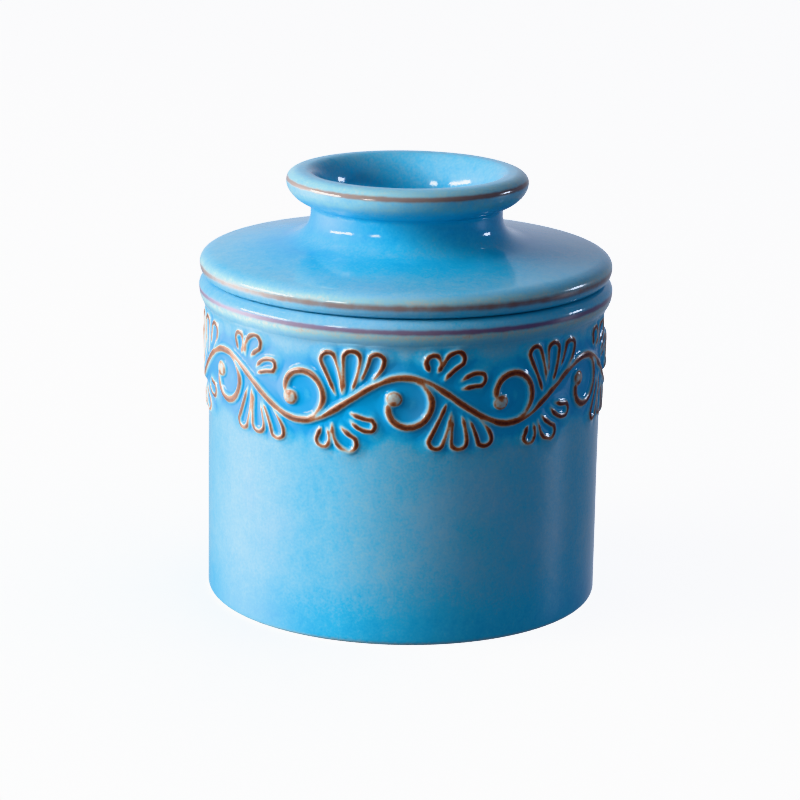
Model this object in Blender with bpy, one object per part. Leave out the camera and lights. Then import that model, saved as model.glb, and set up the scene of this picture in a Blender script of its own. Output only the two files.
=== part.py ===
"""A water-sealed butter crock: a round glazed stoneware crock, and the bell lid that hangs in it.

The bell lid is one fired piece: a flared hollow knob, a lid disc, and a butter cup under the disc.
Turned over, it stands on the knob as a butter dish. Metres, +Z up, base centre at the origin.
"""

import math

import bmesh
import bpy

SEGMENTS = 72  # facets round each turned piece
GAP = 0.0003  # clearance between the lid and the rim that it rests on

# Crock
RIM_RADIUS = 0.0540
RIM_WIDEST_Z = 0.0821
RIM_TOP_Z = 0.0848
RIM_SEAT = (0.0500, 0.0512)  # flat ring on top of the rim, inner and outer radius
NECKING_RADIUS = 0.0521  # wall just under the rim
WALL_RADIUS = 0.0515
WALL_INSIDE = 0.0472
FLOOR_Z = 0.0080
FLOOR_FILLET = 0.0060
FOOT_ROUND = 0.0026
FOOT_RING = 0.0440  # inner radius of the flat foot ring
FOOT_RECESS = 0.0012

# Lid disc
LID_UNDERSIDE_Z = RIM_TOP_Z + GAP
LID_RADIUS = 0.0538
LID_WIDEST_Z = 0.0881
LID_SHOULDER = (0.0500, 0.0914)  # where the rounded edge meets the sloping top
NECK_FILLET = (0.0330, 0.0941)  # where the sloping top turns up into the neck

# Knob
NECK_RADIUS = 0.0250
NECK_TOP_Z = 0.1034
KNOB_RADIUS = 0.0315
KNOB_WIDEST_Z = 0.1098
KNOB_TOP_Z = 0.1126
KNOB_LANDING = (0.0268, 0.0278)  # flat ring that the lid stands on when turned over
HOLLOW_RADIUS = 0.0205
HOLLOW_FLOOR_Z = 0.0925
HOLLOW_FILLET = 0.0060

# Butter cup
CUP_OUTSIDE = 0.0340
CUP_INSIDE = 0.0300
CUP_MOUTH_Z = 0.0230
CUP_CEILING_Z = 0.0865
CUP_FILLET = 0.0060
CUP_ROOT_FILLET = 0.0030


def arc(centre, size, start, end, steps):
    """Points on an ellipse of half-axes `size` about `centre`, from one angle in degrees to another."""
    angles = [math.radians(start + (end - start) * k / steps) for k in range(steps + 1)]
    return [(centre[0] + size[0] * math.cos(a), centre[1] + size[1] * math.sin(a)) for a in angles]


def curve(start, pull_a, pull_b, end, steps):
    """Points on a cubic Bezier through `start` and `end`."""
    points = []
    for k in range(steps + 1):
        t = k / steps
        weights = ((1 - t) ** 3, 3 * t * (1 - t) ** 2, 3 * t * t * (1 - t), t**3)
        knots = (start, pull_a, pull_b, end)
        points.append(tuple(sum(w * p[axis] for w, p in zip(weights, knots)) for axis in (0, 1)))
    return points


def crock_outline():
    """Half section from the centre of the floor, up the inside, over the rim and down the outside."""
    lip = RIM_SEAT[0] - WALL_INSIDE
    shoulder = RIM_RADIUS - RIM_SEAT[1]
    foot = WALL_RADIUS - FOOT_ROUND
    outline = [(0, FLOOR_Z)]
    outline += arc(
        (WALL_INSIDE - FLOOR_FILLET, FLOOR_Z + FLOOR_FILLET), (FLOOR_FILLET, FLOOR_FILLET), -90, 0, 5
    )
    outline += arc((RIM_SEAT[0], RIM_TOP_Z - 0.0035), (lip, 0.0035), 180, 90, 5)
    outline += arc((RIM_SEAT[1], RIM_WIDEST_Z), (shoulder, RIM_TOP_Z - RIM_WIDEST_Z), 90, 0, 6)
    outline += curve(
        (RIM_RADIUS, RIM_WIDEST_Z), (RIM_RADIUS, 0.0786), (NECKING_RADIUS, 0.0784), (NECKING_RADIUS, 0.0758), 7
    )[1:]
    outline += [(WALL_RADIUS, 0.0500)]
    outline += arc((foot, FOOT_ROUND), (FOOT_ROUND, FOOT_ROUND), 0, -90, 5)
    outline += [(FOOT_RING, 0), (FOOT_RING - 0.0010, FOOT_RECESS), (0, FOOT_RECESS)]
    return outline


def knob_outline():
    """From the centre of the knob's hollow, over its rolled rim, to the foot of the neck."""
    fillet_centre = (HOLLOW_RADIUS - HOLLOW_FILLET, HOLLOW_FLOOR_Z + HOLLOW_FILLET)
    outline = [(0, HOLLOW_FLOOR_Z)]
    outline += arc(fillet_centre, (HOLLOW_FILLET, HOLLOW_FILLET), -90, 0, 5)
    outline += curve(
        (HOLLOW_RADIUS, 0.1010), (HOLLOW_RADIUS + 0.0004, 0.1070), (0.0228, KNOB_TOP_Z), (KNOB_LANDING[0], KNOB_TOP_Z), 7
    )
    outline += arc(
        (KNOB_LANDING[1], KNOB_WIDEST_Z),
        (KNOB_RADIUS - KNOB_LANDING[1], KNOB_TOP_Z - KNOB_WIDEST_Z),
        90,
        0,
        5,
    )
    outline += curve(
        (KNOB_RADIUS, KNOB_WIDEST_Z), (KNOB_RADIUS, 0.1073), (0.0290, 0.1049), (0.0262, NECK_TOP_Z + 0.0006), 7
    )[1:]
    outline += [(NECK_RADIUS, NECK_TOP_Z)]
    outline += curve((NECK_RADIUS, 0.1010), (NECK_RADIUS + 0.0002, 0.0970), (0.0280, 0.0949), NECK_FILLET, 7)
    return outline


def lid_edge_outline():
    """From the sloping top of the disc, round its edge, to the flat underside."""
    outline = curve(
        LID_SHOULDER, (0.0526, 0.09095), (LID_RADIUS, 0.0899), (LID_RADIUS, LID_WIDEST_Z), 6
    )
    outline += arc(
        (LID_RADIUS - 0.0022, LID_WIDEST_Z), (0.0022, LID_WIDEST_Z - LID_UNDERSIDE_Z), 0, -90, 5
    )[1:]
    return outline


def cup_outline():
    """From the disc's underside, down the cup's outside, round its mouth and up to its ceiling."""
    root = CUP_ROOT_FILLET
    lip = (CUP_OUTSIDE - CUP_INSIDE) / 2
    outline = arc((CUP_OUTSIDE + root, LID_UNDERSIDE_Z - root), (root, root), 90, 180, 4)
    outline += arc((CUP_INSIDE + lip, CUP_MOUTH_Z + lip), (lip, lip), 0, -180, 8)
    outline += arc((CUP_INSIDE - CUP_FILLET, CUP_CEILING_Z - CUP_FILLET), (CUP_FILLET, CUP_FILLET), 0, 90, 5)
    outline += [(0, CUP_CEILING_Z)]
    return outline


def glaze(name, colour, roughness):
    material = bpy.data.materials.new(name)
    material.use_nodes = True
    shader = material.node_tree.nodes["Principled BSDF"]
    shader.inputs["Base Color"].default_value = (*colour, 1)
    shader.inputs["Roughness"].default_value = roughness
    shader.inputs["Metallic"].default_value = 0
    return material


def turned(name, outline, material):
    """A solid of revolution about Z: the half section is an edge chain, and a Screw modifier turns it."""
    mesh = bpy.data.meshes.new(name)
    section = bmesh.new()
    points = [section.verts.new((radius, 0, height)) for radius, height in outline]
    for start, end in zip(points, points[1:]):
        section.edges.new((start, end))
    section.to_mesh(mesh)
    section.free()
    mesh.materials.append(material)
    piece = bpy.data.objects.new(name, mesh)
    bpy.context.scene.collection.objects.link(piece)
    screw = piece.modifiers.new("turn", "SCREW")
    screw.axis = "Z"
    screw.steps = SEGMENTS
    screw.render_steps = SEGMENTS
    screw.use_merge_vertices = True
    screw.merge_threshold = 0.00001
    screw.use_smooth_shade = True
    return piece


def main():
    for old in list(bpy.data.objects):
        bpy.data.objects.remove(old, do_unlink=True)
    turned("crock", crock_outline(), glaze("crock_glaze", (0.10, 0.38, 0.62), 0.18))
    bell_lid = knob_outline() + lid_edge_outline() + cup_outline()
    turned("bell_lid", bell_lid, glaze("bell_lid_glaze", (0.07, 0.40, 0.68), 0.16))


main()
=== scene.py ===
import math

import bpy
import numpy as np
from mathutils import Matrix, Vector


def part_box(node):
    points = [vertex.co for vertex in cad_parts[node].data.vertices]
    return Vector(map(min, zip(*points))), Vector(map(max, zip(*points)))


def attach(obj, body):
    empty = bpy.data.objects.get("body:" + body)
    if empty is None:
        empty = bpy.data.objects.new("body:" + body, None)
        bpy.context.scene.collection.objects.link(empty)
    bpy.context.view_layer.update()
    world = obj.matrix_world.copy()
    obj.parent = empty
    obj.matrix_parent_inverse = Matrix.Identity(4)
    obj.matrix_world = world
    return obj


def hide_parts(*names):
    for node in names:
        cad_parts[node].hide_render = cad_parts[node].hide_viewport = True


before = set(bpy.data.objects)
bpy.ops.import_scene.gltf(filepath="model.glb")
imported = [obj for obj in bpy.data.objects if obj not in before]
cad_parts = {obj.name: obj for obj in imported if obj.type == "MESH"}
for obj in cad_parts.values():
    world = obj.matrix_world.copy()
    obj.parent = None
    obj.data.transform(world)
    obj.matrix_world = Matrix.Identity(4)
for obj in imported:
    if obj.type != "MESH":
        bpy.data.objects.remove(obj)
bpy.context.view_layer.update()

MM = 0.001

# The crock's half section, in metres from the base centre. The overall sizes come from the frame.
CROCK_LOW, CROCK_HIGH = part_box("crock")
LID_LOW, LID_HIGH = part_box("bell_lid")
RIM_RADIUS = CROCK_HIGH[0]
RIM_TOP_Z = CROCK_HIGH[2]
RIM_WIDEST_Z = RIM_TOP_Z - 0.0027
RIM_SEAT = (RIM_RADIUS - 0.0040, RIM_RADIUS - 0.0028)
NECKING_RADIUS = RIM_RADIUS - 0.0019
WALL_RADIUS = RIM_RADIUS - 0.0025
WALL_INSIDE = RIM_RADIUS - 0.0068
FLOOR_Z = 0.0080
FLOOR_FILLET = 0.0060
FOOT_ROUND = 0.0018
FOOT_RING = RIM_RADIUS - 0.0100
FOOT_RECESS = 0.0012
NECKING_Z = 0.0758
TAPER_Z = 0.0500  # above this the wall widens towards the necking
BAND = (0.0492, 0.0782)  # heights between which the scroll stands on the wall

# The bell lid's half section
LID_RADIUS = LID_HIGH[0]
LID_UNDERSIDE_Z = RIM_TOP_Z + 0.0003
LID_WIDEST_Z = LID_UNDERSIDE_Z + 0.0030
LID_SHOULDER = (LID_RADIUS - 0.0038, LID_UNDERSIDE_Z + 0.0063)
NECK_FILLET = (0.0330, LID_UNDERSIDE_Z + 0.0090)
NECK_RADIUS = 0.0250
KNOB_TOP_Z = LID_HIGH[2]
KNOB_WIDEST_Z = KNOB_TOP_Z - 0.0028
NECK_TOP_Z = KNOB_TOP_Z - 0.0092
FLARE = (0.0262, NECK_TOP_Z + 0.0006)  # where the knob's underside meets the top of the neck
LID_EDGE_ROUND = 0.0022
KNOB_RADIUS = 0.0315
KNOB_LANDING = (0.0268, 0.0278)
HOLLOW_RADIUS = 0.0205
HOLLOW_FLOOR_Z = KNOB_TOP_Z - 0.0201
HOLLOW_FILLET = 0.0060
CUP_OUTSIDE = 0.0340
CUP_INSIDE = 0.0300
CUP_MOUTH_Z = LID_LOW[2]
CUP_CEILING_Z = LID_UNDERSIDE_Z + 0.0014
CUP_FILLET = 0.0060
CUP_ROOT_FILLET = 0.0030


# ---------------------------------------------------------------- outlines

def arc(centre, size, start, end):
    """Points on an ellipse of half-axes `size` about `centre`, from one angle in degrees to another."""
    steps = 24
    angles = [math.radians(start + (end - start) * k / steps) for k in range(steps + 1)]
    return [(centre[0] + size[0] * math.cos(a), centre[1] + size[1] * math.sin(a)) for a in angles]


def curve(*knots):
    """Points on the cubic Bezier of four knots."""
    points = []
    for t in np.linspace(0, 1, 25):
        weights = ((1 - t) ** 3, 3 * t * (1 - t) ** 2, 3 * t * t * (1 - t), t**3)
        points.append(tuple(sum(w * k[axis] for w, k in zip(weights, knots)) for axis in (0, 1)))
    return points


def even(points, spacing):
    """The polyline through `points`, cut again into nearly equal steps."""
    points = np.array(points, float)
    steps = np.hypot(*np.diff(points, axis=0).T)
    along = np.concatenate([[0], np.cumsum(steps)])
    count = max(2, int(round(along[-1] / spacing)) + 1)
    at = np.linspace(0, along[-1], count)
    return np.stack([np.interp(at, along, points[:, axis]) for axis in (0, 1)], axis=1)


def wall_radius(z):
    """The outer wall between the foot and the rim, without the scroll."""
    rise = np.clip((z - TAPER_Z) / (NECKING_Z - TAPER_Z), 0, 1)
    return WALL_RADIUS + (NECKING_RADIUS - WALL_RADIUS) * rise


# ---------------------------------------------------------------- the raised scroll

REPEATS = 3  # the scroll goes round the crock this many times
TURN = 360 / REPEATS
MEAN_RADIUS = (WALL_RADIUS + NECKING_RADIUS) / 2
MM_PER_DEGREE = math.radians(1) * MEAN_RADIUS / MM


def spline(knots, spacing=0.15):
    """A smooth line through the knots (Catmull-Rom), as evenly spaced points in mm."""
    k = np.array(knots, float)
    k = np.vstack([2 * k[0] - k[1], k, 2 * k[-1] - k[-2]])
    t = np.linspace(0, 1, 20, endpoint=False)[:, None]
    runs = []
    for a, b, c, d in zip(k, k[1:], k[2:], k[3:]):
        bend = 2 * a - 5 * b + 4 * c - d
        twist = 3 * b - a - 3 * c + d
        runs.append(0.5 * (2 * b + (c - a) * t + bend * t**2 + twist * t**3))
    runs.append(k[-2:-1])
    return even(np.vstack(runs), spacing)


# A ridge's half-width and height in mm, for the stems and for the leaf edges
STEM, RIB = (1.58, 0.76), (1.14, 0.57)
FADE = 0.16  # share of a ridge's length over which an open end thins out
EYE_RADIUS, EYE_HEIGHT = 2.35, 1.00

# A plain running scroll: the stem swings evenly up and down, a branch curls in under every crest, and
# sprays of open leaves fill the gaps. Every second half wave is the first one turned upside down.
WAVES = 2  # full swings of the stem in one repeat
HALF_WAVE = TURN * MM_PER_DEGREE / (2 * WAVES)
MIDDLE_Z = 63.9
SWING = 6.4
CURL_CENTRE = (0.3, -1.0)  # places in mm from the stem's middle height, under a crest
CURL_ROOT = (0.4, SWING)
CURL_RADIUS = (7.4, 3.3)
CURL_SWEEP = (60, -215)
SPRAY = [  # base, tip, width, bend
    ((11.6, 1.6), (7.4, -11.8), 3.7, 0.5),
    ((12.9, 0.0), (14.2, -12.2), 4.1, 0.2),
    ((15.0, -2.0), (21.0, -11.8), 3.8, 0.9),
    ((7.0, 6.4), (6.4, 12.4), 3.3, -0.5),
    ((9.4, 5.4), (15.2, 12.0), 4.2, 1.2),
    ((12.8, 2.8), (20.4, 6.2), 3.3, 1.0),
]
WANDER = 0.30  # how far hand pressing moves a leaf, in mm


def stem_line():
    """The main stem over one repeat, with a little overlap at its ends."""
    along = np.arange(-2.0, 2 * WAVES * HALF_WAVE + 2.0, 1.5)
    return np.stack([along, MIDDLE_Z + SWING * np.cos(np.pi * along / HALF_WAVE)], 1)


def curl_line():
    """The branch that leaves the stem at its crest and winds in to the eye, from the eye outwards."""
    turn = np.radians(np.linspace(*CURL_SWEEP, 14))
    radius = np.linspace(*CURL_RADIUS, 14)
    winding = np.array(CURL_CENTRE) + radius[:, None] * np.stack([np.cos(turn), np.sin(turn)], 1)
    return np.vstack([CURL_ROOT, winding])[::-1]


def placed(points, half_wave):
    """Points given under the first crest, moved to the given half wave."""
    flip = 1 - 2 * (half_wave % 2)
    return [(x + half_wave * HALF_WAVE, MIDDLE_Z + flip * y) for x, y in points]


def leaf(base, tip, width, bend, left_start, right_start):
    """A leaf's edge: up its left side from `left_start` of its length, round the blunt tip and back.

    `bend` pushes the middle sideways. Everything is in mm.
    """
    base, tip = np.array(base), np.array(tip)
    length = np.hypot(*(tip - base))
    along = (tip - base) / length
    side = np.array([-along[1], along[0]])
    half = width / 2
    shoulder = 1 - half / length

    def middle(s):
        return base + s * length * along + 4 * s * (1 - s) * bend * side

    def flank(start, sign):
        places = np.linspace(start, shoulder, 5)
        spread = half * (0.22 + 0.78 * np.sin(np.pi / 2 * places / shoulder) ** 1.2)
        return [middle(s) + sign * w * side for s, w in zip(places, spread)]

    heading = middle(1) - middle(shoulder)
    heading /= np.hypot(*heading)
    across = np.array([-heading[1], heading[0]])
    cap = [
        middle(shoulder) + half * (math.cos(a) * across + math.sin(a) * heading)
        for a in np.radians((36, 72, 108, 144))
    ]
    return flank(left_start, 1) + cap + flank(right_start, -1)[::-1]


def blurred(field, reach):
    """The field smoothed over `reach` cells, seamless round the crock."""
    cells = int(3 * reach)
    shifts = np.arange(-cells, cells + 1)
    weights = np.exp(-0.5 * (shifts / reach) ** 2)
    weights /= weights.sum()
    smooth = sum(w * np.roll(field, k, axis=1) for w, k in zip(weights, shifts))
    tall = np.pad(smooth, ((cells, cells), (0, 0)), mode="edge")
    rows = len(field)
    return sum(w * tall[cells + k : cells + k + rows] for w, k in zip(weights, shifts))


def scroll_field(angles, heights):
    """The scroll over one repeat: how far it stands proud of the wall, in metres, and how the glaze
    lies on it: thin (positive) on crests, gathered (negative) in hollows.

    `angles` are degrees and `heights` metres, the lines of an even grid.
    """
    across = angles * MM_PER_DEGREE
    up = heights / MM
    cell = across[1] - across[0]
    period = TURN * MM_PER_DEGREE
    ridge = np.zeros((len(up), len(across)))
    nearest = np.full(ridge.shape, 9.0)
    eyes = np.zeros(ridge.shape)
    spots = np.zeros(ridge.shape)

    def around(place, reach):
        """The part of the grid within `reach` of a place, and each point's distance from it."""
        aside = (across - place[0] + period / 2) % period - period / 2
        above = up - place[1]
        columns = np.flatnonzero(np.abs(aside) < reach)
        rows = np.flatnonzero(np.abs(above) < reach)
        return np.ix_(rows, columns), np.hypot(aside[columns][None, :], above[rows][:, None])

    def press(place, radius, height, power):
        """Raises a round boss at `place`, and notes how near each point is to it."""
        window, away = around(place, radius + 3.5)
        boss = height * np.clip(1 - (away / radius) ** 2, 0, 1) ** power
        ridge[window] = np.maximum(ridge[window], boss)
        nearest[window] = np.minimum(nearest[window], np.maximum(away - 0.5 * radius, 0))

    def draw(points, size, fade_in, fade_out):
        """Lays a ridge of the given half-width and height along the points, thinner at its two ends."""
        line = spline(points)
        for s, place in zip(np.linspace(0, 1, len(line)), line):
            swell = min(1, 0.30 + s / fade_in, 0.30 + (1 - s) / fade_out)
            press(place, size[0] * (0.55 + 0.45 * swell), size[1] * swell, 1.3)

    hand = np.random.default_rng(7)
    draw(stem_line(), STEM, 0.01, 0.01)
    for half_wave in range(2 * WAVES):
        curl = np.array(placed(curl_line(), half_wave))
        draw(curl, STEM, 0.05, FADE)
        press(curl[0], EYE_RADIUS, EYE_HEIGHT, 0.6)
        inward = curl[:6].mean(0) - curl[0]
        window, away = around(curl[0], 2 * EYE_RADIUS)
        eyes[window] = np.clip(2.4 * (1 - away / EYE_RADIUS), 0, 1)
        window, away = around(curl[0] + 1.2 * inward / np.hypot(*inward), 2 * EYE_RADIUS)
        spots[window] = np.exp(-((away / 0.7) ** 2))
        for base, tip, width, bend in SPRAY:
            base, tip = placed([base, tip + hand.normal(0, WANDER, 2)], half_wave)
            bend *= 1 - 2 * (half_wave % 2)
            starts = hand.uniform(0.04, 0.34, 2)
            draw(leaf(base, tip, width * hand.uniform(0.92, 1.08), bend, *starts), RIB, FADE, FADE)
    pillow = np.clip(1 - nearest / 3.0, 0, 1)
    pillow = pillow**2 * (3 - 2 * pillow)
    proud = blurred(ridge, 0.22 / cell) + 0.26 * pillow
    sharp = proud - blurred(proud, 0.80 / cell)
    broad = proud - blurred(proud, 1.60 / cell)
    thin = np.clip(sharp, 0, 1) * 3.2 + np.minimum(broad, 0) * 2.5
    thin += eyes * (0.31 + 0.30 * spots - thin)
    border = np.clip((up - up[-1]) / 3.4, 0, 1) * np.clip((up[0] - up) / 1.6, 0, 1)
    thin *= (border**2 * (3 - 2 * border))[:, None]
    return proud * MM, thin


# ---------------------------------------------------------------- turned meshes

class Ring:
    """One ring of points of a turned mesh: the radius at each column, the height, how deep the glaze
    lies at each column and how strongly an edge line shows.
    """

    def __init__(self, radius, z, columns, depth=0, line=0):
        self.radius = np.broadcast_to(np.asarray(radius, float), (columns,))
        self.z = z
        self.columns = columns
        self.depth = np.broadcast_to(np.asarray(depth, float), (columns,))
        self.line = np.full(columns, line)


def corners_between(n, m):
    """Faces between a ring of n columns and the next one of m: (ring 0 or 1, column) for each corner.

    The two counts are the same, or one is 1 or twice the other.
    """
    faces = []
    if n == 1:
        return [((0, 0), (1, j + 1), (1, j)) for j in range(m)]
    if m == 1:
        return [((0, j), (0, j + 1), (1, 0)) for j in range(n)]
    if n == m:
        return [((0, j), (0, j + 1), (1, j + 1), (1, j)) for j in range(n)]
    if n == 2 * m:
        for j in range(m):
            faces.append(((0, 2 * j), (0, 2 * j + 1), (1, j)))
            faces.append(((0, 2 * j + 1), (1, j + 1), (1, j)))
            faces.append(((0, 2 * j + 1), (0, 2 * j + 2), (1, j + 1)))
        return faces
    for j in range(n):
        faces.append(((0, j), (1, 2 * j + 1), (1, 2 * j)))
        faces.append(((0, j), (0, j + 1), (1, 2 * j + 1)))
        faces.append(((0, j + 1), (1, 2 * j + 2), (1, 2 * j + 1)))
    return faces


def turned(name, rings, material):
    """A turned mesh from its rings, with the glaze as point attributes and a map that unrolls it."""
    first, points, depth, line = [], [], [], []
    for ring in rings:
        first.append(len(points))
        turn = 2 * np.pi * np.arange(ring.columns) / ring.columns - np.pi / 2
        height = np.full(ring.columns, ring.z)
        place = np.stack([ring.radius * np.cos(turn), ring.radius * np.sin(turn), height], 1)
        points.extend(place.tolist())
        depth.extend(ring.depth.tolist())
        line.extend(ring.line.tolist())
    section = np.array([(ring.radius.mean(), ring.z) for ring in rings])
    along = np.concatenate([[0], np.cumsum(np.hypot(*np.diff(section, axis=0).T))])
    along /= along[-1]
    faces, unrolled = [], []
    pattern = {}
    for i in range(len(rings) - 1):
        counts = rings[i].columns, rings[i + 1].columns
        if counts not in pattern:
            pattern[counts] = corners_between(*counts)
        for face in pattern[counts]:
            faces.append([first[i + k] + j % counts[k] for k, j in reversed(face)])
            unrolled.extend((j / counts[k], along[i + k]) for k, j in reversed(face))
    mesh = bpy.data.meshes.new(name)
    mesh.from_pydata(points, [], faces)
    for attribute, values in (("glaze", depth), ("line", line)):
        mesh.attributes.new(attribute, "FLOAT", "POINT").data.foreach_set("value", values)
    mesh.uv_layers.new(name="OFBake").uv.foreach_set("vector", np.array(unrolled, np.float32).ravel())
    mesh.shade_smooth()
    mesh.materials.append(material)
    piece = bpy.data.objects.new(name, mesh)
    bpy.context.scene.collection.objects.link(piece)
    return piece


# Where the glaze runs thin (positive) or gathers (negative) in the half section:
# (radius, height), reach in metres, and how much of its depth goes
GLAZE_FULL = 0.66
CROCK_EDGES = [
    ((RIM_RADIUS - 0.0002, RIM_WIDEST_Z - 0.0013), 0.0013, 0.24),
    ((WALL_RADIUS - 0.0006, 0.0004), 0.0008, 0.42),
    ((WALL_RADIUS, 0.0020), 0.0110, -0.18),
    ((NECKING_RADIUS, 0.0770), 0.0030, 0.05),
]
LID_GLAZE_AND_REFLECTION = [
    ((LID_RADIUS, LID_WIDEST_Z + 0.0012), 0.0014, 0.22),
    ((KNOB_RADIUS - 0.0012, KNOB_WIDEST_Z + 0.0016), 0.0022, 0.20),
    ((KNOB_RADIUS - 0.0004, KNOB_WIDEST_Z - 0.0022), 0.0016, 0.16),
    ((NECK_RADIUS, 0.1020), 0.0030, -0.06),
    ((HOLLOW_RADIUS, HOLLOW_FLOOR_Z), 0.0100, -0.28),
    ((NECK_RADIUS + 0.0030, 0.0965), 0.0024, 0.10),
    # Deeper blue round the neck's foot: partly glaze gathered in the fillet, partly a painted dark
    # reflection of the knob on the lid top
    ((NECK_FILLET[0] + 0.0020, NECK_FILLET[1]), 0.0090, -0.11),
]
# The iron line where the glaze breaks over a rim: (radius, height), reach and strength
CROCK_LINES = [((RIM_RADIUS, RIM_WIDEST_Z - 0.0001), 0.00085, 0.90)]
LID_LINES = [
    ((LID_RADIUS, LID_WIDEST_Z - 0.0001), 0.00110, 0.80),
    ((KNOB_RADIUS - 0.0001, KNOB_WIDEST_Z + 0.0008), 0.00080, 1.00),
]


def around_places(section, places):
    """The sum of soft spots in the half section, one value for each of its points."""
    total = np.zeros(len(section))
    for place, reach, strength in places:
        away = np.hypot(section[:, 0] - place[0], section[:, 1] - place[1])
        total += strength * np.exp(-((away / reach) ** 2))
    return total


COLUMNS = 1560  # round the scroll's band
INNER_COLUMNS = COLUMNS // 4
LID_COLUMNS = 300


def unevenness(turn, z):
    """The slight wander of a hand-finished wall, in metres, at angles in radians."""
    wander = np.sin(2 * turn + 40 * z)
    wander = wander + 0.6 * np.sin(3 * turn - 75 * z + 1.3)
    wander = wander + 0.4 * np.sin(7 * turn + 190 * z)
    return 0.00005 * wander


def rings_of(section, edges, lines, columns):
    """The rings of a plain turned stretch, one for each point of its half section."""
    depths = GLAZE_FULL - around_places(section, edges)
    strengths = around_places(section, lines)
    turn = 2 * np.pi * np.arange(columns) / columns
    rings = []
    for (radius, z), depth, line in zip(section, depths, strengths):
        if radius < 1e-6:
            rings.append(Ring(0, z, 1, depth, line))
        else:
            rings.append(Ring(radius + unevenness(turn, z), z, columns, depth, line))
    return rings


def crock_rings():
    """From the centre of the floor, up the inside, over the rim, down the scroll and under the foot."""
    corner = (WALL_INSIDE - FLOOR_FILLET, FLOOR_Z + FLOOR_FILLET)
    inside = even([(0, FLOOR_Z)] + arc(corner, (FLOOR_FILLET,) * 2, -90, 0), 0.0025)
    inside = np.vstack([inside, even([inside[-1], (WALL_INSIDE, RIM_TOP_Z - 0.0035)], 0.004)[1:]])
    lip = arc((RIM_SEAT[0], RIM_TOP_Z - 0.0035), (RIM_SEAT[0] - WALL_INSIDE, 0.0035), 180, 90)
    lip += arc((RIM_SEAT[1], RIM_WIDEST_Z), (RIM_RADIUS - RIM_SEAT[1], RIM_TOP_Z - RIM_WIDEST_Z), 90, 0)
    cove = curve(
        (RIM_RADIUS, RIM_WIDEST_Z),
        (RIM_RADIUS, 0.0786),
        (NECKING_RADIUS, 0.0784),
        (NECKING_RADIUS, NECKING_Z),
    )
    rim = even(lip + cove[1:], 0.0003)
    split = int(np.argmax((rim[:, 1] < BAND[1]) & (np.arange(len(rim)) > len(rim) / 2)))
    above, below = rim[:split], rim[split:]
    band_z = np.arange(BAND[1], BAND[0], -0.00021)
    band_r = np.where(
        band_z > NECKING_Z,
        np.interp(-band_z, -below[:, 1], below[:, 0]),
        wall_radius(band_z),
    )
    wall = even([(WALL_RADIUS, BAND[0] - 0.0006), (WALL_RADIUS, FOOT_ROUND)], 0.0025)
    foot = arc((WALL_RADIUS - FOOT_ROUND, FOOT_ROUND), (FOOT_ROUND,) * 2, 0, -90)
    foot = even(foot, 0.0004)[1:]
    base = even([foot[-1], (FOOT_RING, 0)], 0.001)[1:]
    recess = even([(FOOT_RING - 0.0010, FOOT_RECESS), (0, FOOT_RECESS)], 0.006)

    coat = (CROCK_EDGES, CROCK_LINES)
    rings = rings_of(inside[:-1], *coat, INNER_COLUMNS)
    rings += rings_of(inside[-1:], *coat, INNER_COLUMNS * 2)
    rings += rings_of(above, *coat, COLUMNS // 2)
    per_turn = COLUMNS // REPEATS
    angles = np.arange(per_turn) * TURN / per_turn
    proud, thin = scroll_field(angles, band_z)
    turn = 2 * np.pi * np.arange(COLUMNS) / COLUMNS
    base_depth = GLAZE_FULL - around_places(np.stack([band_r, band_z], 1), CROCK_EDGES)
    for row, z in enumerate(band_z):
        radius = band_r[row] + unevenness(turn, z) + np.tile(proud[row], REPEATS)
        depth = base_depth[row] - np.tile(thin[row], REPEATS)
        rings.append(Ring(radius, z, COLUMNS, depth))
    rings += rings_of(wall[:1], *coat, COLUMNS // 2)
    rings += rings_of(wall[1:], *coat, INNER_COLUMNS)
    rings += rings_of(np.vstack([foot, base, recess]), *coat, INNER_COLUMNS)
    return rings


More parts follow.
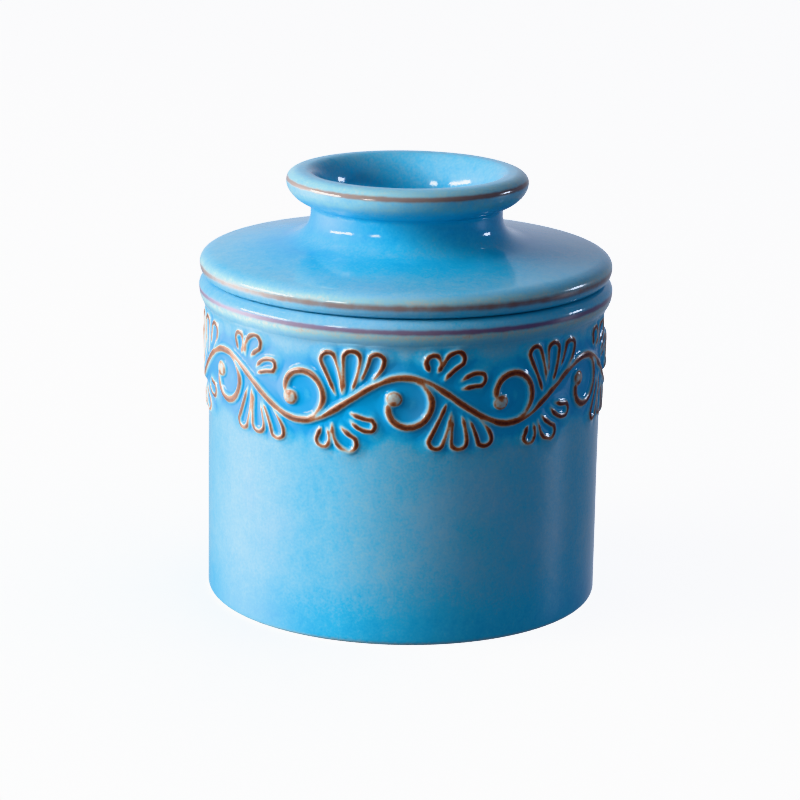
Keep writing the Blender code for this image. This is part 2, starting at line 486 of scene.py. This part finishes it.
def lid_rings():
    """From the centre of the knob's hollow, over the knob, down to the disc and round the butter cup."""
    fillet = (HOLLOW_RADIUS - HOLLOW_FILLET, HOLLOW_FLOOR_Z + HOLLOW_FILLET)
    hollow = [(0, HOLLOW_FLOOR_Z)] + arc(fillet, (HOLLOW_FILLET,) * 2, -90, 0)
    hollow += curve(
        (HOLLOW_RADIUS, 0.1010),
        (HOLLOW_RADIUS + 0.0004, 0.1070),
        (0.0228, KNOB_TOP_Z),
        (KNOB_LANDING[0], KNOB_TOP_Z),
    )
    roll = (KNOB_RADIUS - KNOB_LANDING[1], KNOB_TOP_Z - KNOB_WIDEST_Z)
    knob = arc((KNOB_LANDING[1], KNOB_WIDEST_Z), roll, 90, 0)
    knob += curve((KNOB_RADIUS, KNOB_WIDEST_Z), (KNOB_RADIUS, 0.1073), (0.0290, 0.1049), FLARE)[1:]
    knob += curve(
        FLARE,
        (0.0256, NECK_TOP_Z + 0.0003),
        (NECK_RADIUS + 0.0001, NECK_TOP_Z + 0.0002),
        (NECK_RADIUS, NECK_TOP_Z - 0.0006),
    )[1:]
    knob += curve((NECK_RADIUS, 0.1010), (NECK_RADIUS + 0.0002, 0.0970), (0.0280, 0.0949), NECK_FILLET)
    top = [NECK_FILLET]
    top += curve(LID_SHOULDER, (0.0526, 0.09095), (LID_RADIUS, 0.0899), (LID_RADIUS, LID_WIDEST_Z))
    edge_round = (LID_EDGE_ROUND, LID_WIDEST_Z - LID_UNDERSIDE_Z)
    edge = arc((LID_RADIUS - LID_EDGE_ROUND, LID_WIDEST_Z), edge_round, 0, -90)[1:]
    root = CUP_ROOT_FILLET
    lip = (CUP_OUTSIDE - CUP_INSIDE) / 2
    cup = arc((CUP_OUTSIDE + root, LID_UNDERSIDE_Z - root), (root, root), 90, 180)
    cup += arc((CUP_INSIDE + lip, CUP_MOUTH_Z + lip), (lip, lip), 0, -180)
    cup += arc((CUP_INSIDE - CUP_FILLET, CUP_CEILING_Z - CUP_FILLET), (CUP_FILLET,) * 2, 0, 90)
    cup += [(0, CUP_CEILING_Z)]
    shell = even(hollow + knob, 0.0005)
    disc = even(top + edge, 0.0006)[1:]
    below = even([tuple(disc[-1])] + cup, 0.0012)[1:]
    section = np.vstack([shell, disc, below])
    return rings_of(section, LID_GLAZE_AND_REFLECTION, LID_LINES, LID_COLUMNS)


# ---------------------------------------------------------------- materials

def node(tree, kind, **settings):
    """A new node with its inputs and properties set by name."""
    made = tree.nodes.new(kind)
    for key, value in settings.items():
        if key in made.inputs:
            made.inputs[key].default_value = value
        else:
            setattr(made, key, value)
    return made


def glaze(name, line_colour):
    """The mottled glaze: brown where it runs thin, through cream and turquoise to blue where it gathers."""
    material = bpy.data.materials.new(name)
    material.use_nodes = True
    tree = material.node_tree
    link = tree.links.new
    shader = tree.nodes["Principled BSDF"]
    place = node(tree, "ShaderNodeTexCoord")

    depth = node(tree, "ShaderNodeAttribute", attribute_name="glaze")

    def noise(scale, detail, stretch=(1, 1, 1)):
        mapping = node(tree, "ShaderNodeMapping")
        mapping.inputs["Scale"].default_value = stretch
        link(place.outputs["Object"], mapping.inputs["Vector"])
        found = node(tree, "ShaderNodeTexNoise", Scale=scale, Detail=detail, Roughness=0.6)
        link(mapping.outputs["Vector"], found.inputs["Vector"])
        return found.outputs["Fac"]

    def add_scaled(total, value, amount):
        """total + amount * (value - 0.5)"""
        scaled = node(tree, "ShaderNodeMath", operation="MULTIPLY_ADD")
        scaled.inputs[1].default_value = amount
        scaled.inputs[2].default_value = -0.5 * amount
        link(value, scaled.inputs[0])
        joined = node(tree, "ShaderNodeMath", operation="ADD")
        link(total, joined.inputs[0])
        link(scaled.outputs[0], joined.inputs[1])
        return joined.outputs[0]

    total = depth.outputs["Fac"]
    total = add_scaled(total, noise(30, 4), 0.12)
    total = add_scaled(total, noise(110, 3), 0.14)
    total = add_scaled(total, noise(420, 4, (1, 1, 0.8)), 0.20)
    total = add_scaled(total, noise(1500, 2), 0.24)

    ramp = node(tree, "ShaderNodeValToRGB")
    stops = [
        (0.00, (0.10, 0.038, 0.024)),
        (0.17, (0.26, 0.105, 0.054)),
        (0.28, (0.34, 0.21, 0.14)),
        (0.37, (0.35, 0.40, 0.39)),
        (0.47, (0.23, 0.44, 0.52)),
        (0.62, (0.150, 0.405, 0.590)),
        (0.80, (0.045, 0.365, 0.625)),
        (1.00, (0.004, 0.26, 0.56)),
    ]
    elements = ramp.color_ramp.elements
    while len(elements) < len(stops):
        elements.new(0.5)
    for element, (position, colour) in zip(elements, stops):
        element.position = position
        element.color = (*colour, 1)
    link(total, ramp.inputs["Fac"])

    def blend(below, above, share):
        mix = node(tree, "ShaderNodeMix", data_type="RGBA")
        link(share, mix.inputs[0])
        link(below, mix.inputs[6])
        mix.inputs[7].default_value = (*above, 1)
        return mix.outputs[2]

    def window(value, low, high, most):
        """0 below `low`, rising to `most` at `high`."""
        stretch = node(tree, "ShaderNodeMapRange", interpolation_type="SMOOTHSTEP")
        link(value, stretch.inputs["Value"])
        stretch.inputs["From Min"].default_value = low
        stretch.inputs["From Max"].default_value = high
        stretch.inputs["To Max"].default_value = most
        return stretch.outputs["Result"]

    clouds = node(tree, "ShaderNodeMath", operation="MULTIPLY")
    link(window(noise(24, 3), 0.50, 0.74, 0.24), clouds.inputs[0])
    link(window(total, 0.46, 0.60, 1), clouds.inputs[1])
    cloudy = blend(ramp.outputs["Color"], (0.30, 0.44, 0.64), clouds.outputs[0])
    line = node(tree, "ShaderNodeAttribute", attribute_name="line")
    broken = add_scaled(line.outputs["Fac"], noise(260, 3), 0.5)
    lined = blend(cloudy, line_colour, window(broken, 0.18, 0.85, 0.85))
    link(lined, shader.inputs["Base Color"])

    polish = node(tree, "ShaderNodeMapRange")
    link(total, polish.inputs["Value"])
    polish.inputs["From Min"].default_value = 0.10
    polish.inputs["From Max"].default_value = 0.62
    polish.inputs["To Min"].default_value = 0.30
    polish.inputs["To Max"].default_value = 0.10
    link(add_scaled(polish.outputs["Result"], noise(60, 3), 0.06), shader.inputs["Roughness"])
    shader.inputs["IOR"].default_value = 1.58
    bump = node(tree, "ShaderNodeBump", Strength=0.12, Distance=0.0004)
    link(noise(300, 3), bump.inputs["Height"])
    link(bump.outputs["Normal"], shader.inputs["Normal"])
    return material


# ---------------------------------------------------------------- pieces

crock = turned("crock_glazed", crock_rings(), glaze("crock_glaze", (0.18, 0.10, 0.16)))
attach(crock, "crock")
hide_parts("crock")

bell_lid = turned("bell_lid_glazed", lid_rings(), glaze("bell_lid_glaze", (0.21, 0.12, 0.088)))
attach(bell_lid, "bell_lid")
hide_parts("bell_lid")


# ---------------------------------------------------------------- stage, light and camera

def plain(name, colour, roughness, glow):
    """An even pale surface that also gives a little light of its own."""
    material = bpy.data.materials.new(name)
    material.use_nodes = True
    shader = material.node_tree.nodes["Principled BSDF"]
    shader.inputs["Base Color"].default_value = (*colour, 1)
    shader.inputs["Roughness"].default_value = roughness
    shader.inputs["Emission Color"].default_value = (1, 1, 1, 1)
    shader.inputs["Emission Strength"].default_value = glow
    return material


STUDIO_RADIUS = 6.0
COVE_RADIUS = 2.0


def studio():
    """A round pale floor that sweeps up into a pale wall on every side."""
    outline = [(0, 0), (STUDIO_RADIUS - COVE_RADIUS, 0)]
    outline += arc((STUDIO_RADIUS - COVE_RADIUS, COVE_RADIUS), (COVE_RADIUS,) * 2, -90, 0)
    outline += [(STUDIO_RADIUS, 5.0)]
    columns = 96
    rings = [Ring(radius, z, 1 if radius == 0 else columns) for radius, z in outline]
    stage = turned("floor", rings, plain("pale_floor", (0.88, 0.88, 0.88), 0.6, 2.2))
    stage.visible_diffuse = False
    stage.visible_glossy = False
    return stage


floor = studio()


WARM, COOL = (1.0, 0.985, 0.94), (0.78, 0.90, 1.12)
LIGHT_DISTANCE = 1.2
LIGHT_TARGET = Vector((0, 0, 0.06))


def heading_of(azimuth, elevation):
    """The direction at these degrees. Azimuth 0 is the camera's side and 90 is to its right."""
    a, e = math.radians(azimuth), math.radians(elevation)
    return Vector((math.sin(a) * math.cos(e), -math.cos(a) * math.cos(e), math.sin(e)))


def softbox(name, azimuth, elevation, size, watts, colour, mirrored=True):
    """A rectangular light aimed at the object. One that isn't mirrored leaves no glint in the glaze."""
    light = bpy.data.lights.new(name, "AREA")
    light.shape = "RECTANGLE"
    light.size, light.size_y = size
    light.energy = watts
    light.color = colour
    lamp = bpy.data.objects.new(name, light)
    away = heading_of(azimuth, elevation)
    lamp.location = LIGHT_TARGET + LIGHT_DISTANCE * away
    lamp.rotation_euler = away.to_track_quat("Z", "Y").to_euler()
    lamp.visible_camera = False
    lamp.visible_glossy = mirrored
    bpy.context.scene.collection.objects.link(lamp)


softbox("key_strip", -83, 13, (0.72, 0.10), 15, WARM)
softbox("key_mid", -80, 30, (0.80, 0.60), 11, WARM, mirrored=False)
softbox("key_front", -62, 27, (0.70, 0.60), 10, WARM, mirrored=False)
softbox("window_strip", -37, 13, (0.20, 0.10), 2.2, WARM)
softbox("right_strip", 107, 13, (0.20, 0.10), 2.2, COOL)


def surroundings(dim, glows):
    """A dim room with soft bright regions. Each glow has an azimuth and elevation, a falloff power,
    a strength and a colour."""
    world = bpy.data.worlds.new("studio")
    world.use_nodes = True
    tree = world.node_tree
    link = tree.links.new
    heading = tree.nodes.new("ShaderNodeTexCoord")
    total = tree.nodes.new("ShaderNodeRGB")
    total.outputs[0].default_value = (*dim, 1)
    light = total.outputs[0]
    for azimuth, elevation, power, strength, colour in glows:
        towards = tree.nodes.new("ShaderNodeVectorMath")
        towards.operation = "DOT_PRODUCT"
        towards.inputs[1].default_value = heading_of(azimuth, elevation)
        link(heading.outputs["Generated"], towards.inputs[0])
        ahead = tree.nodes.new("ShaderNodeMath")
        ahead.operation = "MAXIMUM"
        ahead.inputs[1].default_value = 0
        link(towards.outputs["Value"], ahead.inputs[0])
        falloff = tree.nodes.new("ShaderNodeMath")
        falloff.operation = "POWER"
        falloff.inputs[1].default_value = power
        link(ahead.outputs[0], falloff.inputs[0])
        glow = tree.nodes.new("ShaderNodeVectorMath")
        glow.operation = "SCALE"
        glow.inputs[0].default_value = [strength * part for part in colour]
        link(falloff.outputs[0], glow.inputs["Scale"])
        joined = tree.nodes.new("ShaderNodeVectorMath")
        joined.operation = "ADD"
        link(light, joined.inputs[0])
        link(glow.outputs[0], joined.inputs[1])
        light = joined.outputs[0]
    link(light, tree.nodes["Background"].inputs["Color"])
    bpy.context.scene.world = world


surroundings(
    dim=(0.22, 0.225, 0.27),
    glows=[
        (-100, -12, 9, 4.2, WARM),
        (180, 5, 6, 0.45, COOL),
        (100, -10, 60, 0.9, COOL),
    ],
)
bpy.context.scene.view_settings.view_transform = "Khronos PBR Neutral"

EYE = Vector((0.0, -0.7694, 0.2552))
PAN, PITCH, ROLL = math.radians(-0.075), math.radians(14.88), math.radians(0.96)
camera = bpy.data.cameras.new("camera")
camera.sensor_width = 36
camera.lens = 36 * 3.7686
view = bpy.data.objects.new("camera", camera)
forward = Vector((math.sin(PAN) * math.cos(PITCH), math.cos(PAN) * math.cos(PITCH), -math.sin(PITCH)))
level = Vector((math.cos(PAN), -math.sin(PAN), 0))
upward = level.cross(forward)
right = math.cos(ROLL) * level + math.sin(ROLL) * upward
up = right.cross(forward)
axes = Matrix((right, up, -forward)).transposed()
view.matrix_world = Matrix.Translation(EYE) @ axes.to_4x4()
bpy.context.scene.collection.objects.link(view)
bpy.context.scene.camera = view
